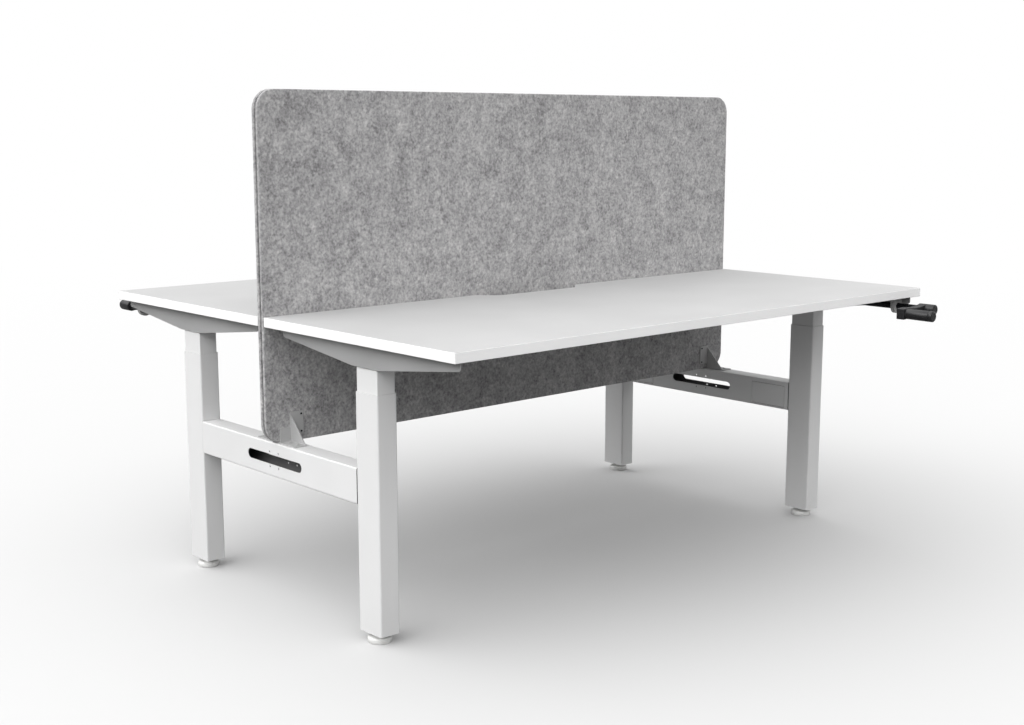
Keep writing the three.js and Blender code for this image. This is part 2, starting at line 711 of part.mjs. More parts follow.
const desk = new THREE.Group();
const nearLift = makeLift("near", "right", "left");
const farLift = makeLift("far", "left", "right");
farLift.rotation.z = Math.PI;
desk.add(makeFrame(), nearLift, farLift);

export default desk;
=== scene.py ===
import json
import math

import bmesh
import bpy
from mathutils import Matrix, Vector


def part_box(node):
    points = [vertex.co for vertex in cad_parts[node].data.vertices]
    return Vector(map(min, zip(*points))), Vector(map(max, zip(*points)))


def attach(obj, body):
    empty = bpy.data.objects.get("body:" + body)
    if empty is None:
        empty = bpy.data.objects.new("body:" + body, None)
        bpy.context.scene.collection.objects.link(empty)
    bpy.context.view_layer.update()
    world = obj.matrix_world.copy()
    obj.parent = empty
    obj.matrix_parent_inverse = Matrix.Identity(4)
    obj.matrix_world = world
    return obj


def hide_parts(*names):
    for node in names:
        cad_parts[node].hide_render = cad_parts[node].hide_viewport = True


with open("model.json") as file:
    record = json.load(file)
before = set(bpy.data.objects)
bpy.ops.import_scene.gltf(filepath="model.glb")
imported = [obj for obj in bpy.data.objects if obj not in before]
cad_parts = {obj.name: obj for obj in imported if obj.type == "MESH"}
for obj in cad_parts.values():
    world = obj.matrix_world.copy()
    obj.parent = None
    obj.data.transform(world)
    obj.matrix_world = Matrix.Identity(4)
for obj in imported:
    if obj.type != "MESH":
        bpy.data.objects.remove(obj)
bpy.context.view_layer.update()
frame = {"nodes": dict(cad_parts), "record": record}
MM = 0.001
WELD = 0.01 * MM
FLAT_DEGREES = 1
BEVEL_DEGREES = 40
TURNED_SIDES = 64


def corners(node):
    """The lowest and highest corner of a CAD node, in millimetres to the hundredth."""
    return [Vector([round(c / MM, 2) for c in corner]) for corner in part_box(node)]


def middle(node):
    low, high = corners(node)
    return (low + high) / 2


def extent(node):
    low, high = corners(node)
    return high - low


# Sizes and places that the frame gives, in millimetres

LEG_X = middle("far_right_leg").x
LEG_WIDTH = extent("far_right_leg").x
BEAM_MIDDLE = middle("right_beam").z
BEAM_HEIGHT = extent("right_beam").z
UNDERSIDE = corners("near_worktop")[0].z
FELT_INNER, FELT_OUTER = [corner.y for corner in corners("far_felt")]
SCREEN_LENGTH = extent("far_felt").x
SCREEN_HEIGHT = extent("far_felt").z
SCREEN_MIDDLE = middle("far_felt").z
SCREEN_BOTTOM = corners("far_felt")[0].z
SHAFT = middle("near_crank_shaft")
GRIP = middle("near_crank_grip")
CRANK_BACK = -corners("near_crank_handle")[1].y
CRANK_RADIUS = math.hypot(GRIP.x - SHAFT.x, GRIP.z - SHAFT.z)
CRANK_REST = math.asin((SHAFT.z - GRIP.z) / CRANK_RADIUS)

# Sizes of sheet steel, board and mouldings, in millimetres

BEAM_WALL = 2
FOLDED_EDGE = 0.8
COVER_EDGE = 0.5
COVER_GAP = 1.0
BANDED_EDGE = 0.3
MOULDED_EDGE = 0.6
CORE_EDGE = 0.5

# Sizes of the felt boards, in millimetres. Grid lines lie close on the pressed edge and evenly on
# the face, and the face's waves have a length for each radian.

SCREEN_CORNER = 50
PRESSED_EDGE = 2.2
EDGE_LINES = (0.0, 0.25, 0.9, PRESSED_EDGE)
FACE_START = 6.0
FACE_ROWS = 88
FACE_COLUMNS = 176
WAVE_DEPTH = 0.16
WAVE_ALONG = 37
WAVE_UP = 41
SWAY_UP = 53
SWAY = 1.3
WAVE_FADE = 20

# Sizes of the cranks, in millimetres. A start or end lies along the axis from the arm, a foot is
# the radius of the first edge, and a crown is the width and height of the last one.

CRANK_EDGE = 1.6
CRANK_THICKNESS = 25
HUB_RADIUS = 15
HUB_LENGTH = 52
HUB_FOOT = 1.4
HUB_CROWN = (3.5, 2.4)
HUB_DISH_RADIUS = 10.6
HUB_DISH = (0.8, 1.0)
ARM_AT_HUB = 14.9
ARM_WAIST = 6.75
ARM_END = 15.5
ARM_STEPS = 20
PIN_RADIUS = 4
PIN_LENGTH = 77.7
BAR_CHAMFER = 1
BORE_RADIUS = 4.4
BORE_END = 78
GRIP_START = 0.3
GRIP_END = 86
GRIP_NECK = 14.75
GRIP_RADIUS = 15.5
GRIP_FOOT = 1.9
GRIP_CROWN = (3.1, 3.0)
GRIP_GROOVE = 73.5
GROOVE_STEPS = ((-1.1, 0), (-0.5, 0.4), (-0.3, 0.9), (0.3, 0.9), (0.5, 0.4), (1.1, 0))
GRIP_DISH_RADIUS = 9
GRIP_DISH = 0.6

# Sizes of the glides, in millimetres. Steps are the heights between which a shoulder stands.

PAD_RADIUS = 30
PAD_HEIGHT = 14.9
PAD_FOOT = 2.4
PAD_CROWN = (5.2, 4.7)
SEAT_RADIUS = 14
SEAT_STEPS = (15, 16.2)
NUT_RADIUS = 10
NUT_STEPS = (16.6, 24.7)
NUT_CHAMFER = 0.4
STUD_RADIUS = 5
STUD_END = 60
STUD_CHAMFER = 1.5

# Screw heads: radius, height and socket radius, and where they stand, in millimetres

FELT_SCREW = (2.5, 1.2, 1.1)
FELT_SCREW_X = 796
FELT_SCREW_Y = 16.6
FELT_SCREW_HEIGHTS = (70, 24)
BASE_SCREW = (3.6, 1.6, 1.6)
BASE_SCREW_X = LEG_X + 4
BASE_SCREW_YS = (38, 72)
BASE_PLATE = 3.8
WORKTOP_SCREW = (5.5, 2.0, 2.2)
WORKTOP_SCREW_X = LEG_X - 20
WORKTOP_SCREW_YS = (80, 250, 560, 690)
ARM_FLANGE = 4.7
HEAD_SIDES = 32
HEAD_CROWN = 0.72
SOCKET_FLOOR = 0.6


def linear(code):
    """An sRGB hex colour as linear RGBA."""
    parts = [int(code[i:i + 2], 16) / 255 for i in (1, 3, 5)]
    return [c / 12.92 if c <= 0.04045 else ((c + 0.055) / 1.055) ** 2.4 for c in parts] + [1.0]


def add(tree, kind, inputs=None, **settings):
    """Adds one node. An input is a value, or a (node, output) pair to link."""
    made = tree.nodes.new(kind)
    for key, value in settings.items():
        setattr(made, key, value)
    for key, value in (inputs or {}).items():
        if isinstance(value, tuple) and isinstance(value[0], bpy.types.Node):
            tree.links.new(value[0].outputs[value[1]], made.inputs[key])
        else:
            made.inputs[key].default_value = value
    return made


def per_mm(size):
    """The noise scale that makes features of this size in millimetres on Object coordinates."""
    return 1 / (size * MM)


def start_material(name):
    material = bpy.data.materials.new(name)
    material.use_nodes = True
    tree = material.node_tree
    tree.nodes.clear()
    coords = add(tree, "ShaderNodeTexCoord")
    return material, tree, coords


def close_material(tree, shader):
    add(tree, "ShaderNodeOutputMaterial", {"Surface": (shader, "BSDF")})


def ramp_colours(ramp, stops):
    """Fills a colour ramp with (position, hex colour) stops."""
    elements = ramp.color_ramp.elements
    while len(elements) < len(stops):
        elements.new(0.5)
    for element, (position, code) in zip(elements, stops):
        element.position = position
        element.color = linear(code)


def powder_coat(name, low, high):
    """Polyester powder coat on steel: satin, with the fine orange peel of the baked powder. Its
    grey copies paint shade.
    """
    material, tree, coords = start_material(name)
    # The real peel is about 0.8 mm; it is drawn at 2.5 mm so that it shows.
    peel = add(tree, "ShaderNodeTexNoise", {
        "Vector": (coords, "Object"), "Scale": per_mm(2.5), "Detail": 2.0, "Roughness": 0.5})
    cloud = add(tree, "ShaderNodeTexNoise", {
        "Vector": (coords, "Object"), "Scale": per_mm(180), "Detail": 3.0})
    tone = add(tree, "ShaderNodeValToRGB", {"Fac": (cloud, "Fac")})
    ramp_colours(tone, [(0.3, low), (0.7, high)])
    gloss = add(tree, "ShaderNodeMapRange", {
        "Value": (peel, "Fac"), "To Min": 0.4, "To Max": 0.52})
    bump = add(tree, "ShaderNodeBump", {
        "Height": (peel, "Fac"), "Strength": 0.08, "Distance": 0.4 * MM})
    shader = add(tree, "ShaderNodeBsdfPrincipled", {
        "Base Color": (tone, "Color"), "Roughness": (gloss, "Result"),
        "Normal": (bump, "Normal"), "IOR": 1.5})
    close_material(tree, shader)
    return material


def melamine(name, low, high):
    """Melamine laminate or edge band on board: satin, with the pearl of the press plate. The
    greyer copy paints shade on the tops.
    """
    material, tree, coords = start_material(name)
    # The pearl of the plate is under 1 mm; it is drawn at 3 mm so that it shows.
    pearl = add(tree, "ShaderNodeTexNoise", {
        "Vector": (coords, "Object"), "Scale": per_mm(3), "Detail": 3.0, "Roughness": 0.6})
    cloud = add(tree, "ShaderNodeTexNoise", {
        "Vector": (coords, "Object"), "Scale": per_mm(260), "Detail": 2.0})
    tone = add(tree, "ShaderNodeValToRGB", {"Fac": (cloud, "Fac")})
    ramp_colours(tone, [(0.3, low), (0.7, high)])
    gloss = add(tree, "ShaderNodeMapRange", {
        "Value": (pearl, "Fac"), "To Min": 0.42, "To Max": 0.58})
    bump = add(tree, "ShaderNodeBump", {
        "Height": (pearl, "Fac"), "Strength": 0.05, "Distance": 0.3 * MM})
    shader = add(tree, "ShaderNodeBsdfPrincipled", {
        "Base Color": (tone, "Color"), "Roughness": (gloss, "Result"),
        "Normal": (bump, "Normal"), "IOR": 1.49, "Specular IOR Level": 0.3})
    close_material(tree, shader)
    return material


def pressed_felt(name, dark, middle_tone, light):
    """Needled polyester felt: matt, with pale and dark fibres that gather in upright clouds. Its
    dark copy paints shade.
    """
    material, tree, coords = start_material(name)
    upright = add(tree, "ShaderNodeMapping", {
        "Vector": (coords, "Object"), "Scale": (1.0, 1.0, 0.8)})
    cloud = add(tree, "ShaderNodeTexNoise", {
        "Vector": (upright, "Vector"), "Scale": per_mm(70),
        "Detail": 3.0, "Roughness": 0.5, "Distortion": 0.4})
    tuft = add(tree, "ShaderNodeTexNoise", {
        "Vector": (coords, "Object"), "Scale": per_mm(22),
        "Detail": 3.0, "Roughness": 0.6, "Distortion": 0.8})
    # Single fibres are 0.05 mm; they are drawn some 5 mm wide and 6 mm long so that they show.
    fibre = add(tree, "ShaderNodeTexNoise", {
        "Vector": (upright, "Vector"), "Scale": per_mm(9),
        "Detail": 4.0, "Roughness": 0.65, "Distortion": 0.6})
    fleck = add(tree, "ShaderNodeTexNoise", {
        "Vector": (coords, "Object"), "Scale": per_mm(7), "Detail": 2.0, "Roughness": 0.6})
    # The shares of the four patterns add up to one, so their sum stays about one half.
    clouds = add(tree, "ShaderNodeMath", {0: (cloud, "Fac"), 1: 0.17}, operation="MULTIPLY")
    tufts = add(tree, "ShaderNodeMath", {0: (tuft, "Fac"), 1: 0.23, 2: (clouds, "Value")},
                operation="MULTIPLY_ADD")
    fibres = add(tree, "ShaderNodeMath", {0: (fibre, "Fac"), 1: 0.32, 2: (tufts, "Value")},
                 operation="MULTIPLY_ADD")
    blend = add(tree, "ShaderNodeMath", {0: (fleck, "Fac"), 1: 0.28, 2: (fibres, "Value")},
                operation="MULTIPLY_ADD")
    tone = add(tree, "ShaderNodeValToRGB", {"Fac": (blend, "Value")})
    ramp_colours(tone, [(0.36, dark), (0.5, middle_tone), (0.65, light)])
    height = add(tree, "ShaderNodeMath", {0: (fibre, "Fac"), 1: (fleck, "Fac")}, operation="ADD")
    bump = add(tree, "ShaderNodeBump", {
        "Height": (height, "Value"), "Strength": 0.5, "Distance": 1 * MM})
    shader = add(tree, "ShaderNodeBsdfPrincipled", {
        "Base Color": (tone, "Color"), "Roughness": 1.0, "Normal": (bump, "Normal"),
        "Sheen Weight": 0.25, "Sheen Roughness": 0.6, "Specular IOR Level": 0.1})
    close_material(tree, shader)
    return material


def moulded_plastic(name, low, high, roughness, grain):
    """Injection-moulded plastic: even colour with the fine spark-eroded grain of its mould."""
    material, tree, coords = start_material(name)
    # The real grain is about 0.1 mm; it is drawn at over 1 mm so that it shows.
    spark = add(tree, "ShaderNodeTexNoise", {
        "Vector": (coords, "Object"), "Scale": per_mm(grain), "Detail": 3.0, "Roughness": 0.6})
    tone = add(tree, "ShaderNodeValToRGB", {"Fac": (spark, "Fac")})
    ramp_colours(tone, [(0.35, low), (0.65, high)])
    gloss = add(tree, "ShaderNodeMapRange", {
        "Value": (spark, "Fac"), "To Min": roughness - 0.08, "To Max": roughness + 0.08})
    bump = add(tree, "ShaderNodeBump", {
        "Height": (spark, "Fac"), "Strength": 0.15, "Distance": 0.3 * MM})
    shader = add(tree, "ShaderNodeBsdfPrincipled", {
        "Base Color": (tone, "Color"), "Roughness": (gloss, "Result"),
        "Normal": (bump, "Normal"), "IOR": 1.5})
    close_material(tree, shader)
    return material


def steel(name, low, high, roughness):
    """Drawn or plated steel: metal with fine scratches along the bar and a cloudy plating."""
    material, tree, coords = start_material(name)
    drawn = add(tree, "ShaderNodeMapping", {
        "Vector": (coords, "Object"), "Scale": (1.0, 0.05, 0.05)})
    # Drawing scratches are about 0.1 mm apart; they are drawn at 1.2 mm so that they show.
    scratch = add(tree, "ShaderNodeTexNoise", {
        "Vector": (drawn, "Vector"), "Scale": per_mm(1.2), "Detail": 3.0})
    cloud = add(tree, "ShaderNodeTexNoise", {
        "Vector": (coords, "Object"), "Scale": per_mm(12), "Detail": 4.0})
    tone = add(tree, "ShaderNodeValToRGB", {"Fac": (cloud, "Fac")})
    ramp_colours(tone, [(0.3, low), (0.7, high)])
    gloss = add(tree, "ShaderNodeMapRange", {
        "Value": (scratch, "Fac"), "To Min": roughness - 0.1, "To Max": roughness + 0.12})
    bump = add(tree, "ShaderNodeBump", {
        "Height": (scratch, "Fac"), "Strength": 0.08, "Distance": 0.2 * MM})
    shader = add(tree, "ShaderNodeBsdfPrincipled", {
        "Base Color": (tone, "Color"), "Metallic": 1.0,
        "Roughness": (gloss, "Result"), "Normal": (bump, "Normal")})
    close_material(tree, shader)
    return material


POWDER_COAT = powder_coat("powder_coat_white", "#dfdfdf", "#e3e3e3")
# The arms' grey is the white coat darkened: painted shade under the worktop's overhang.
ARM_PAINTED_SHADE = powder_coat("coat_arm_painted_shade", "#9c9c9c", "#a4a4a4")
# The brackets' grey is the white coat darkened: painted shade under the worktop.
BRACKET_PAINTED_SHADE = powder_coat("coat_bracket_painted_shade", "#b0b0b0", "#b8b8b8")
# The worktops' melamine is set far greyer than their white edge band: painted shade on the tops,
# against their bright edges.
MELAMINE_PAINTED_SHADE = melamine("melamine_painted_shade", "#bababa", "#bfbfbf")
EDGE_BAND = melamine("edge_band_white", "#f8f8f8", "#fcfcfc")
FELT = pressed_felt("pressed_felt_grey", "#6b6a6b", "#a3a2a3", "#d0cfce")
# The dark core between the felt boards paints the shade of the gap between them.
CORE_PAINTED_SHADE = pressed_felt("felt_core_painted_shade", "#232323", "#4a4a4a", "#6b6b6b")
WHITE_PLASTIC = moulded_plastic("nylon_white", "#dededc", "#e8e8e6", 0.42, 1.5)
GREY_PLASTIC = moulded_plastic("acetal_grey", "#a5a5a4", "#b2b2b1", 0.5, 1.5)
BLACK_PLASTIC = moulded_plastic("glass_filled_nylon_black", "#18181a", "#232325", 0.45, 1.4)
GRIP_PLASTIC = moulded_plastic("abs_black", "#161617", "#202021", 0.36, 1.2)
DARK_STEEL = steel("black_oxide_steel", "#26272a", "#3a3b3e", 0.42)
ZINC_STEEL = steel("zinc_plated_steel", "#9c9ea1", "#b5b6b6", 0.36)
# A dark grey for the inside of the beams' tubes: painted shade, where the closed tube gets little
# light.
TUBE_PAINTED_SHADE = powder_coat("tube_painted_shade", "#6c6c6c", "#787878")

FINISH_OF_SLOT = {
    "powder_coat": POWDER_COAT,
    "laminate": MELAMINE_PAINTED_SHADE,
    "felt": FELT,
    "felt_core": CORE_PAINTED_SHADE,
    "white_plastic": WHITE_PLASTIC,
    "grey_plastic": GREY_PLASTIC,
    "black_plastic": BLACK_PLASTIC,
    "dark_steel": DARK_STEEL,
    "zinc_steel": ZINC_STEEL,
}
RECORD = frame["record"]
SLOT_OF_NODE = {part["node"]: part["material_slot"] for part in RECORD["subparts"]}
BODY_OF_NODE = {
    node: body for body, nodes in RECORD["behaviour"]["bodies"].items() for node in nodes}

for node, slot in SLOT_OF_NODE.items():
    cad = frame["nodes"][node]
    cad.data.materials.clear()
    cad.data.materials.append(FINISH_OF_SLOT[slot])


def place(piece, body):
    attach(piece, body)


def object_from(name, mesh):
    piece = bpy.data.objects.new(name, mesh)
    bpy.context.scene.collection.objects.link(piece)
    return piece


def piece_from(name, shape, *finishes):
    """A piece from a finished bmesh, with its finishes in order."""
    mesh = bpy.data.meshes.new(name)
    shape.to_mesh(mesh)
    shape.free()
    for finish in finishes:
        mesh.materials.append(finish)
    return object_from(name, mesh)


def settle(piece):
    """Applies a piece's modifiers, so that its mesh is what shows."""
    graph = bpy.context.evaluated_depsgraph_get()
    mesh = bpy.data.meshes.new_from_object(piece.evaluated_get(graph))
    piece.modifiers.clear()
    piece.data = mesh


def smooth_by_angle(mesh, degrees=35):
    mesh.polygons.foreach_set("use_smooth", [True] * len(mesh.polygons))
    mesh.set_sharp_from_angle(angle=math.radians(degrees))


def round_edges(piece, width, steps):
    """Breaks a piece's edges, and keeps the normals of its wide faces so that they look flat."""
    smooth_by_angle(piece.data)
    rounding = piece.modifiers.new("edge", "BEVEL")
    rounding.width = width * MM
    rounding.segments = steps
    rounding.limit_method = "ANGLE"
    rounding.angle_limit = math.radians(BEVEL_DEGREES)
    flat = piece.modifiers.new("normals", "WEIGHTED_NORMAL")
    flat.weight = 100
    flat.keep_sharp = True
    settle(piece)


def join_rims(shape, one, other):
    """Closes the gap between two rims of as many points with a band of faces."""
    for k in range(len(one)):
        after = (k + 1) % len(one)
        shape.faces.new((one[k], one[after], other[after], other[k]))


def draw_in(shape, node, gap):
    """Draws in the outline of an upright cover, so that a fine gap shows around it."""
    centre, size = middle(node) * MM, extent(node)
    for vert in shape.verts:
        vert.co.y = centre.y + (vert.co.y - centre.y) * (1 - 2 * gap / size.y)
        vert.co.z = centre.z + (vert.co.z - centre.z) * (1 - 2 * gap / size.z)


def dressed(node, edge, finishes=None, has_second=None, gap=0):
    """A CAD node with its edges broken. Where has_second says so, a face has the second finish."""
    shape = bmesh.new()
    shape.from_mesh(frame["nodes"][node].data)
    bmesh.ops.remove_doubles(shape, verts=shape.verts, dist=WELD)
    bmesh.ops.dissolve_limit(shape, angle_limit=math.radians(FLAT_DEGREES),
                             verts=shape.verts, edges=shape.edges)
    if gap:
        draw_in(shape, node, gap)
    slot = SLOT_OF_NODE[node]
    piece = piece_from(node + "_dressed", shape, *(finishes or [FINISH_OF_SLOT[slot]]))
    if has_second:
        for face in piece.data.polygons:
            face.material_index = 1 if has_second(face) else 0
    round_edges(piece, edge, 2)
    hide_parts(node)
    place(piece, BODY_OF_NODE[node])


def in_tube(face):
    """True inside a beam's tube, whose faces take the dark grey that paints the shade inside the
    closed tube.
    """
    point = face.center / MM
    across = abs(abs(point.x) - LEG_X) < LEG_WIDTH / 2 - BEAM_WALL / 2
    return across and abs(point.z - BEAM_MIDDLE) < BEAM_HEIGHT / 2 - BEAM_WALL / 2


def on_edge(face):
    """True on the banded edge of a worktop."""
    return abs(face.normal.z) < 0.5


for node, slot in SLOT_OF_NODE.items():
    kind = node.split("_")[-1]
    if kind == "arm":
        dressed(node, FOLDED_EDGE, [ARM_PAINTED_SHADE])
    elif kind == "bracket":
        dressed(node, FOLDED_EDGE, [BRACKET_PAINTED_SHADE])
    elif kind == "beam":
        dressed(node, FOLDED_EDGE, [POWDER_COAT, TUBE_PAINTED_SHADE], in_tube)
    elif kind == "cover":
        dressed(node, COVER_EDGE, gap=COVER_GAP)
    elif kind in ("leg", "column"):
        dressed(node, FOLDED_EDGE)
    elif kind == "worktop":
        dressed(node, BANDED_EDGE, [MELAMINE_PAINTED_SHADE, EDGE_BAND], on_edge)
    elif kind in ("bearing", "bush"):
        dressed(node, MOULDED_EDGE)


def grid_lines(half, count):
    """Where the grid of a felt board runs: evenly, and closer at the pressed edges."""
    inside = half - FACE_START
    even = [inside * (2 * k / count - 1) for k in range(count + 1)]
    return ([line - half for line in EDGE_LINES] + even
            + [half - line for line in reversed(EDGE_LINES)])


def past_corner(x, z):
    """How far a point, measured from the screen's middle, lies past the corners' centres."""
    return (abs(x) - (SCREEN_LENGTH / 2 - SCREEN_CORNER),
            abs(z) - (SCREEN_HEIGHT / 2 - SCREEN_CORNER))


def depth_inside(x, z):
    """How far inside the screen's outline a point lies."""
    over_x, over_z = past_corner(x, z)
    return (SCREEN_CORNER - math.hypot(max(over_x, 0), max(over_z, 0))
            - min(max(over_x, over_z), 0))


def half_length(z):
    """Half the screen's length at a height. The round corners shorten it."""
    over = max(past_corner(0, z)[1], 0)
    return (SCREEN_LENGTH / 2 - SCREEN_CORNER
            + math.sqrt(max(SCREEN_CORNER ** 2 - over ** 2, 0)))


def edge_drop(depth):
    """How far a felt's face falls back at its pressed edge."""
    left = max(PRESSED_EDGE - depth, 0)
    return PRESSED_EDGE - math.sqrt(max(PRESSED_EDGE ** 2 - left ** 2, 0))


def unevenness(x, z, depth, side):
    """How far a felt's face lies under its full thickness. It dies out at the pressed edge."""
    sway = SWAY * math.sin(z / SWAY_UP)
    wave = math.sin(x / WAVE_ALONG + sway) * math.sin(z / WAVE_UP + side)
    share = min(max(depth - PRESSED_EDGE, 0) / WAVE_FADE, 1)
    return WAVE_DEPTH * (1 - wave) * share


def felt_point(line, z, side, outer):
    """A point of a felt board, on its outer face or on the one that lies on the core."""
    x = line * half_length(z) / (SCREEN_LENGTH / 2)
    depth = depth_inside(x, z)
    if outer:
        y = FELT_OUTER - edge_drop(depth) - unevenness(x, z, depth, side)
    else:
        y = FELT_INNER + edge_drop(depth)
    return Vector((x, side * y, SCREEN_MIDDLE + z)) * MM


def felt_board(node, side):
    """A felt board of the screen: rounded corners, pressed edges and a slightly uneven face."""
    rows = grid_lines(SCREEN_HEIGHT / 2, FACE_ROWS)
    columns = grid_lines(SCREEN_LENGTH / 2, FACE_COLUMNS)
    shape = bmesh.new()
    rims = []
    for outer in (True, False):
        sheet = [[shape.verts.new(felt_point(line, z, side, outer)) for line in columns]
                 for z in rows]
        for lower, upper in zip(sheet, sheet[1:]):
            for k in range(len(columns) - 1):
                shape.faces.new((lower[k], lower[k + 1], upper[k + 1], upper[k]))
        rims.append(sheet[0] + [row[-1] for row in sheet[1:]] + sheet[-1][-2::-1]
                    + [row[0] for row in sheet[-2:0:-1]])
    join_rims(shape, *rims)
    bmesh.ops.recalc_face_normals(shape, faces=shape.faces)
    piece = piece_from(node + "_board", shape, FELT)
    smooth_by_angle(piece.data, 50)
    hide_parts(node)
    place(piece, "frame")


felt_board("near_felt", -1)
felt_board("far_felt", 1)
dressed("screen_core", CORE_EDGE)


def turned(name, profile, centre, axis, material):
    """A turned piece from (radius, distance) points along an axis, with its ends on the axis."""
    shape = bmesh.new()
    start, along = Vector(centre) * MM, Vector(axis)
    across = along.orthogonal().normalized()
    points = [shape.verts.new(start + (across * r + along * d) * MM) for r, d in profile]
    edges = [shape.edges.new(pair) for pair in zip(points, points[1:])]
    bmesh.ops.spin(shape, geom=points + edges, cent=start, axis=along,
                   angle=math.tau, steps=TURNED_SIDES, use_merge=True)
    bmesh.ops.remove_doubles(shape, verts=shape.verts, dist=WELD)
    bmesh.ops.recalc_face_normals(shape, faces=shape.faces)
    piece = piece_from(name, shape, material)
    smooth_by_angle(piece.data)
    return piece


def lower_edge(radius, start, size):
    """The rounded edge of a turned piece from its first face to its side."""
    turns = [math.radians(degrees) for degrees in (-90, -45, 0)]
    return [(radius - size + size * math.cos(t), start + size + size * math.sin(t)) for t in turns]


def upper_edge(radius, end, width, height):
    """The rounded edge of a turned piece from its side to its last face."""
    turns = [math.radians(degrees) for degrees in (0, 30, 60, 90)]
    return [(radius - width + width * math.cos(t), end - height + height * math.sin(t))
            for t in turns]


def shaft(node, axis):
    """A round bar in place of a CAD shaft, with chamfered ends."""
    length = extent(node).dot(Vector(axis))
    radius = extent(node).z / 2
    inner = radius - BAR_CHAMFER
    bar = [(0, 0), (inner, 0), (radius, BAR_CHAMFER), (radius, length - BAR_CHAMFER),
           (inner, length), (0, length)]
    start = middle(node) - Vector(axis) * length / 2
    piece = turned(node + "_turned", bar, start, axis, DARK_STEEL)
    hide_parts(node)
    place(piece, BODY_OF_NODE[node])


def crank_spot(way, along, out, up):
    """A point on a crank: along its arm from the shaft, out from its back and up across it."""
    cos, sin = math.cos(CRANK_REST), math.sin(CRANK_REST)
    x = SHAFT.x - along * cos - up * sin
    z = SHAFT.z - along * sin + up * cos
    return Vector((way * x, -way * (CRANK_BACK + out), z))


def crank_hub(user, way):
    """The hub that sits on the crank shaft: a boss with a rounded rim and a shallow dish."""
    rim_drop, dish_drop = HUB_DISH
    profile = [(0, 0), *lower_edge(HUB_RADIUS, 0, HUB_FOOT),
               *upper_edge(HUB_RADIUS, HUB_LENGTH, *HUB_CROWN),
               (HUB_DISH_RADIUS, HUB_LENGTH - rim_drop), (0, HUB_LENGTH - dish_drop)]
    start = crank_spot(way, 0, 0, 0)
    hub = turned(f"{user}_crank_hub", profile, start, (0, -way, 0), BLACK_PLASTIC)
    place(hub, f"{user}_crank")


def crank_arm(user, way):
    """The flat arm of a crank: it sweeps from the hub to a waist and widens to a square end."""
    edge = []
    for k in range(ARM_STEPS + 1):
        t = k / ARM_STEPS
        half = ARM_AT_HUB * (1 - t) ** 2 + 2 * ARM_WAIST * t * (1 - t) + ARM_END * t ** 2
        edge.append(((CRANK_RADIUS - ARM_END) * t, half))
    edge.append((CRANK_RADIUS + ARM_END, ARM_END))
    outline = edge + [(along, -up) for along, up in reversed(edge)]
    shape = bmesh.new()
    rims = []
    for out in (0, CRANK_THICKNESS):
        rims.append([shape.verts.new(crank_spot(way, along, out, up) * MM)
                     for along, up in outline])
        shape.faces.new(rims[-1])
    join_rims(shape, *rims)
    bmesh.ops.recalc_face_normals(shape, faces=shape.faces)
    arm = piece_from(f"{user}_crank_arm", shape, BLACK_PLASTIC)
    round_edges(arm, CRANK_EDGE, 3)
    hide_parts(f"{user}_crank_handle")
    place(arm, f"{user}_crank")


def crank_pin(user, way):
    """The steel pin in the arm's end, on which the grip turns."""
    profile = [(0, 0), (PIN_RADIUS, 0), (PIN_RADIUS, PIN_LENGTH - BAR_CHAMFER),
               (PIN_RADIUS - BAR_CHAMFER, PIN_LENGTH), (0, PIN_LENGTH)]
    start = crank_spot(way, CRANK_RADIUS, CRANK_THICKNESS, 0)
    pin = turned(f"{user}_crank_pin", profile, start, (0, -way, 0), DARK_STEEL)
    place(pin, f"{user}_crank")


def crank_grip(user, way):
    """The grip: a blind bore for the pin, a slight taper, and an end cap behind a groove."""
    bore = [(0, BORE_END), (BORE_RADIUS, BORE_END), (BORE_RADIUS, GRIP_START)]
    groove = [(GRIP_RADIUS - sink, GRIP_GROOVE + off) for off, sink in GROOVE_STEPS]
    dish = [(GRIP_DISH_RADIUS, GRIP_END), (GRIP_DISH_RADIUS - GRIP_DISH, GRIP_END - GRIP_DISH),
            (0, GRIP_END - GRIP_DISH)]
    profile = [*bore, *lower_edge(GRIP_NECK, GRIP_START, GRIP_FOOT), *groove,
               *upper_edge(GRIP_RADIUS, GRIP_END, *GRIP_CROWN), *dish]
    start = crank_spot(way, CRANK_RADIUS, CRANK_THICKNESS, 0)
    grip = turned(f"{user}_crank_grip_turned", profile, start, (0, -way, 0), GRIP_PLASTIC)
    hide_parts(f"{user}_crank_grip")
    place(grip, f"{user}_grip")


for user, way in (("near", 1), ("far", -1)):
    crank_hub(user, way)
    crank_arm(user, way)
    crank_pin(user, way)
    crank_grip(user, way)
    shaft(f"{user}_crank_shaft", (0, 1, 0))
    shaft(f"{user}_cross_shaft", (1, 0, 0))


def glide(node):
    """A levelling glide: a rounded pad, a raised seat, a nut and a stud with a chamfered end."""
    nut_low, nut_high = NUT_STEPS
    profile = [(0, 0), *lower_edge(PAD_RADIUS, 0, PAD_FOOT),
               *upper_edge(PAD_RADIUS, PAD_HEIGHT, *PAD_CROWN),
               *[(SEAT_RADIUS, step) for step in SEAT_STEPS],
               (NUT_RADIUS, nut_low), (NUT_RADIUS, nut_high - NUT_CHAMFER),
               (NUT_RADIUS - NUT_CHAMFER, nut_high),
               (STUD_RADIUS, nut_high), (STUD_RADIUS, STUD_END - STUD_CHAMFER),
               (STUD_RADIUS - STUD_CHAMFER, STUD_END), (0, STUD_END)]
    spot = middle(node)
    piece = turned(node + "_turned", profile, (spot.x, spot.y, 0), (0, 0, 1), WHITE_PLASTIC)
    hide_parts(node)
    place(piece, BODY_OF_NODE[node])


for user in ("near", "far"):
    for end in ("left", "right"):
        glide(f"{user}_{end}_glide")


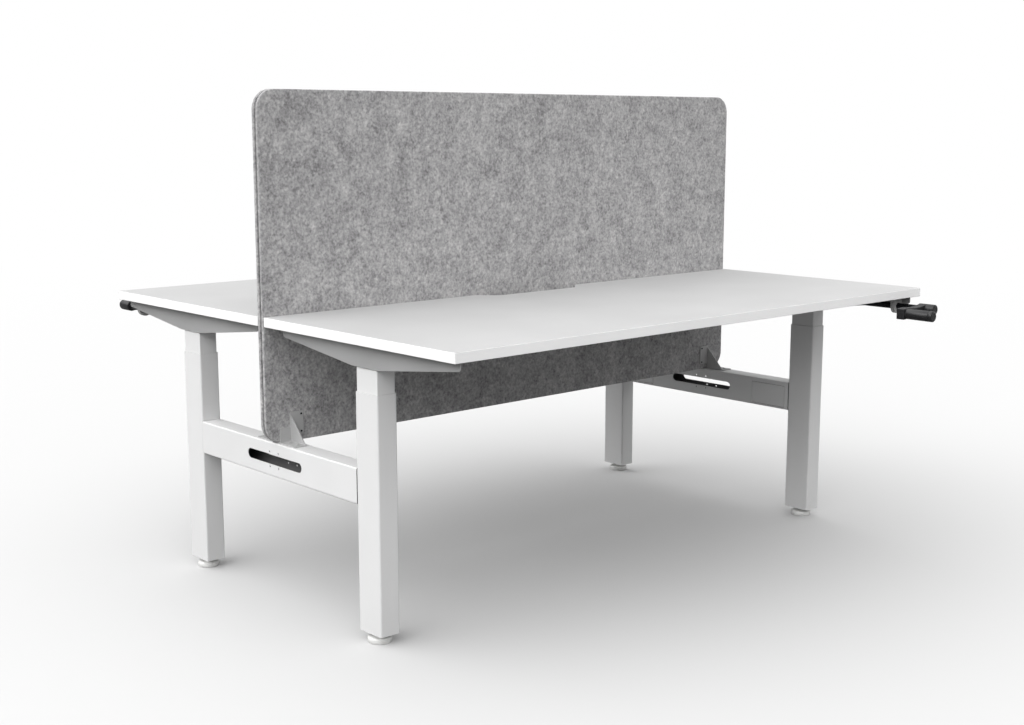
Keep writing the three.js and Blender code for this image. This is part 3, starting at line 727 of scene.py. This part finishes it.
def screw_tree(material):
    """Pan-head screws on points: each stands on its point, along the point's axis attribute."""
    tree = bpy.data.node_groups.new("screw_heads", "GeometryNodeTree")
    for way in ("INPUT", "OUTPUT"):
        tree.interface.new_socket("Geometry", in_out=way, socket_type="NodeSocketGeometry")
    sizes = {}
    for name in ("Head radius", "Head height", "Socket radius"):
        socket = tree.interface.new_socket(name, in_out="INPUT", socket_type="NodeSocketFloat")
        sizes[name] = socket.identifier
    given = add(tree, "NodeGroupInput")
    half = add(tree, "ShaderNodeMath", {0: (given, "Head height"), 1: 0.5}, operation="MULTIPLY")
    crown = add(tree, "ShaderNodeMath", {0: (given, "Head radius"), 1: HEAD_CROWN},
                operation="MULTIPLY")
    to_half = add(tree, "ShaderNodeCombineXYZ", {"Z": (half, "Value")})
    to_top = add(tree, "ShaderNodeCombineXYZ", {"Z": (given, "Head height")})
    # A closed head: a seat, an upright rim, a sloping crown and a lid.
    disc = add(tree, "GeometryNodeMeshCircle", {
        "Vertices": HEAD_SIDES, "Radius": (given, "Head radius")}, fill_type="NGON")
    seat = add(tree, "GeometryNodeFlipFaces", {"Mesh": (disc, "Mesh")})
    rim = add(tree, "GeometryNodeMeshCone", {
        "Vertices": HEAD_SIDES, "Radius Top": (given, "Head radius"),
        "Radius Bottom": (given, "Head radius"), "Depth": (half, "Value")}, fill_type="NONE")
    slope = add(tree, "GeometryNodeMeshCone", {
        "Vertices": HEAD_SIDES, "Radius Top": (crown, "Value"),
        "Radius Bottom": (given, "Head radius"), "Depth": (half, "Value")}, fill_type="NONE")
    raised = add(tree, "GeometryNodeTransform", {
        "Geometry": (slope, "Mesh"), "Translation": (to_half, "Vector")})
    cap = add(tree, "GeometryNodeMeshCircle", {
        "Vertices": HEAD_SIDES, "Radius": (crown, "Value")}, fill_type="NGON")
    lid = add(tree, "GeometryNodeTransform", {
        "Geometry": (cap, "Mesh"), "Translation": (to_top, "Vector")})
    head = add(tree, "GeometryNodeJoinGeometry")
    for part, output in ((rim, "Mesh"), (raised, "Geometry"), (seat, "Mesh"), (lid, "Geometry")):
        tree.links.new(part.outputs[output], head.inputs[0])
    whole = add(tree, "GeometryNodeMergeByDistance", {
        "Geometry": (head, "Geometry"), "Distance": WELD})
    # The hexagon socket is cut from above and leaves a floor.
    key = add(tree, "GeometryNodeMeshCylinder", {
        "Vertices": 6, "Radius": (given, "Socket radius"), "Depth": (given, "Head height")})
    on_seat = add(tree, "GeometryNodeTransform", {
        "Geometry": (key, "Mesh"), "Translation": (to_half, "Vector")})
    cutter = add(tree, "GeometryNodeTransform", {
        "Geometry": (on_seat, "Geometry"), "Translation": (0, 0, SOCKET_FLOOR * MM)})
    socketed = add(tree, "GeometryNodeMeshBoolean", {
        0: (whole, "Geometry"), 1: (cutter, "Geometry")}, operation="DIFFERENCE", solver="EXACT")
    axis = add(tree, "GeometryNodeInputNamedAttribute", {"Name": "axis"}, data_type="FLOAT_VECTOR")
    aim = add(tree, "FunctionNodeAlignRotationToVector", {"Vector": (axis, "Attribute")}, axis="Z")
    copies = add(tree, "GeometryNodeInstanceOnPoints", {
        "Points": (given, "Geometry"), "Instance": (socketed, "Mesh"),
        "Rotation": (aim, "Rotation")})
    real = add(tree, "GeometryNodeRealizeInstances", {"Geometry": (copies, "Instances")})
    coloured = add(tree, "GeometryNodeSetMaterial", {
        "Geometry": (real, "Geometry"), "Material": material})
    add(tree, "NodeGroupOutput", {"Geometry": (coloured, "Geometry")})
    return tree, sizes


# The screws on the brackets' base plates take the brackets' grey, which paints the shade under the
# worktop.
SCREWS_OF_SLOT = {
    "zinc_steel": screw_tree(ZINC_STEEL),
    "dark_steel": screw_tree(DARK_STEEL),
    "powder_coat": screw_tree(BRACKET_PAINTED_SHADE),
}


def screws(name, body, slot, size, places):
    """Screw heads for one body, at (position, axis) places in millimetres."""
    tree, sockets = SCREWS_OF_SLOT[slot]
    mesh = bpy.data.meshes.new(name)
    mesh.from_pydata([Vector(spot) * MM for spot, _ in places], [], [])
    axes = mesh.attributes.new("axis", "FLOAT_VECTOR", "POINT")
    axes.data.foreach_set("vector", [c for _, axis in places for c in axis])
    piece = object_from(name, mesh)
    modifier = piece.modifiers.new("screws", "NODES")
    modifier.node_group = tree
    for label, value in zip(("Head radius", "Head height", "Socket radius"), size):
        modifier[sockets[label]] = value * MM
    settle(piece)
    smooth_by_angle(piece.data)
    place(piece, body)


QUARTERS = [(x, y) for x in (-1, 1) for y in (-1, 1)]
felt_places = [((x * FELT_SCREW_X, y * FELT_SCREW_Y, SCREEN_BOTTOM + up), (0, y, 0))
               for x, y in QUARTERS for up in FELT_SCREW_HEIGHTS]
base_places = [((x * BASE_SCREW_X, y * from_middle, SCREEN_BOTTOM + BASE_PLATE), (0, 0, 1))
               for x, y in QUARTERS for from_middle in BASE_SCREW_YS]
screws("felt_screws", "frame", "dark_steel", FELT_SCREW, felt_places)
screws("base_screws", "frame", "powder_coat", BASE_SCREW, base_places)

for user, y in (("near", -1), ("far", 1)):
    spots = [((x * WORKTOP_SCREW_X, y * from_middle, UNDERSIDE - ARM_FLANGE), (0, 0, -1))
             for x in (-1, 1) for from_middle in WORKTOP_SCREW_YS]
    screws(f"{user}_worktop_screws", f"{user}_lift", "zinc_steel", WORKTOP_SCREW, spots)


# The studio, in metres

FLOOR_REACH = 60
FLOOR_FADE = (2.5, 9.0)
KEY_FROM = (-0.97, -0.14, 0.0)
KEY_STRENGTH = 4.6
PANEL_FRONT, PANEL_BACK = 0.7, 2.0
FILL_FROM = (0.996, -0.087, 0.0)
FILL_SPREAD = 0.65
FILL_STRENGTH = 2.0
CAMERA_AT = (-2.790104, -3.035331, 1.236231)
CAMERA_AIM = (0.6614, 0.7312, -0.1669)
LENS_MM = 49.53
SENSOR_MM = 36


def floor_material():
    """Plain matt white floor that runs into the white wall. It throws back little light."""
    material, tree, coords = start_material("studio_floor")
    near, far = FLOOR_FADE
    rays = add(tree, "ShaderNodeLightPath")
    dull = add(tree, "ShaderNodeBsdfDiffuse", {"Color": linear("#7e7e7e")})
    white = add(tree, "ShaderNodeBsdfDiffuse", {"Color": linear("#cdcdcd")})
    wall = add(tree, "ShaderNodeEmission", {"Color": linear("#ffffff"), "Strength": 1.0})
    away = add(tree, "ShaderNodeVectorMath", {0: (coords, "Object")}, operation="LENGTH")
    fade = add(tree, "ShaderNodeMapRange", {
        "Value": (away, "Value"), "From Min": near, "From Max": far},
        interpolation_type="SMOOTHSTEP")
    sweep = add(tree, "ShaderNodeMixShader", {
        0: (fade, "Result"), 1: (white, "BSDF"), 2: (wall, "Emission")})
    seen = add(tree, "ShaderNodeMixShader", {
        0: (rays, "Is Camera Ray"), 1: (dull, "BSDF"), 2: (sweep, "Shader")})
    add(tree, "ShaderNodeOutputMaterial", {"Surface": (seen, "Shader")})
    return material


def lay_floor():
    mesh = bpy.data.meshes.new("floor")
    rim = [(x * FLOOR_REACH, y * FLOOR_REACH, 0) for x, y in ((-1, -1), (1, -1), (1, 1), (-1, 1))]
    mesh.from_pydata(rim, [], [(0, 1, 2, 3)])
    mesh.materials.append(floor_material())
    object_from("floor", mesh)


def light_studio():
    """A soft box on the left, a wide panel above that is brightest at the back, and a low strip
    on the right. The camera sees a white wall."""
    world = bpy.data.worlds.new("studio")
    bpy.context.scene.world = world
    world.use_nodes = True
    tree = world.node_tree
    tree.nodes.clear()
    around = add(tree, "ShaderNodeTexCoord")
    height = add(tree, "ShaderNodeSeparateXYZ", {"Vector": (around, "Generated")})

    panel_band = add(tree, "ShaderNodeValToRGB", {"Fac": (height, "Z")})
    ramp_colours(panel_band, [(0.0, "#1c1c1c"), (0.45, "#707070"), (0.65, "#d8d8d8"),
                              (1.0, "#ffffff")])
    tilt = add(tree, "ShaderNodeMapRange", {
        "Value": (height, "Y"), "From Min": -1.0, "From Max": 1.0,
        "To Min": PANEL_FRONT, "To Max": PANEL_BACK})
    panel = add(tree, "ShaderNodeMath", {0: (panel_band, "Color"), 1: (tilt, "Result")},
                operation="MULTIPLY")

    box_band = add(tree, "ShaderNodeValToRGB", {"Fac": (height, "Z")})
    ramp_colours(box_band, [(0.0, "#101010"), (0.2, "#303030"), (0.38, "#f4f4f4"),
                            (0.6, "#ffffff"), (0.8, "#a0a0a0"), (1.0, "#404040")])
    left = add(tree, "ShaderNodeVectorMath", {0: (around, "Generated"), 1: KEY_FROM},
               operation="DOT_PRODUCT")
    left_share = add(tree, "ShaderNodeMapRange", {
        "Value": (left, "Value"), "From Min": -1.0, "From Max": 1.0})
    soft = add(tree, "ShaderNodeMath", {0: (left_share, "Result"), 1: 2.0}, operation="POWER")
    box = add(tree, "ShaderNodeMath", {0: (soft, "Value"), 1: KEY_STRENGTH}, operation="MULTIPLY")
    box_and_panel = add(tree, "ShaderNodeMath", {
        0: (box, "Value"), 1: (box_band, "Color"), 2: (panel, "Value")}, operation="MULTIPLY_ADD")

    fill_band = add(tree, "ShaderNodeValToRGB", {"Fac": (height, "Z")})
    ramp_colours(fill_band, [(0.0, "#ffffff"), (0.25, "#c8c8c8"), (0.5, "#000000")])
    right = add(tree, "ShaderNodeVectorMath", {0: (around, "Generated"), 1: FILL_FROM},
                operation="DOT_PRODUCT")
    strip = add(tree, "ShaderNodeMapRange", {
        "Value": (right, "Value"), "From Min": FILL_SPREAD, "To Max": FILL_STRENGTH})
    power = add(tree, "ShaderNodeMath", {
        0: (strip, "Result"), 1: (fill_band, "Color"), 2: (box_and_panel, "Value")},
        operation="MULTIPLY_ADD")

    rays = add(tree, "ShaderNodeLightPath")
    dome = add(tree, "ShaderNodeBackground", {
        "Color": linear("#ffffff"), "Strength": (power, "Value")})
    wall = add(tree, "ShaderNodeBackground", {"Color": linear("#ffffff"), "Strength": 1.0})
    sky = add(tree, "ShaderNodeMixShader", {
        0: (rays, "Is Camera Ray"), 1: (dome, "Background"), 2: (wall, "Background")})
    add(tree, "ShaderNodeOutputWorld", {"Surface": (sky, "Shader")})


def aim_camera():
    camera = bpy.data.cameras.new("camera")
    camera.sensor_fit = "HORIZONTAL"
    camera.sensor_width = SENSOR_MM
    camera.lens = LENS_MM
    eye = object_from("camera", camera)
    eye.location = CAMERA_AT
    eye.rotation_euler = Vector(CAMERA_AIM).to_track_quat("-Z", "Y").to_euler()
    bpy.context.scene.camera = eye


lay_floor()
light_studio()
aim_camera()
bpy.context.scene.view_settings.view_transform = "Standard"
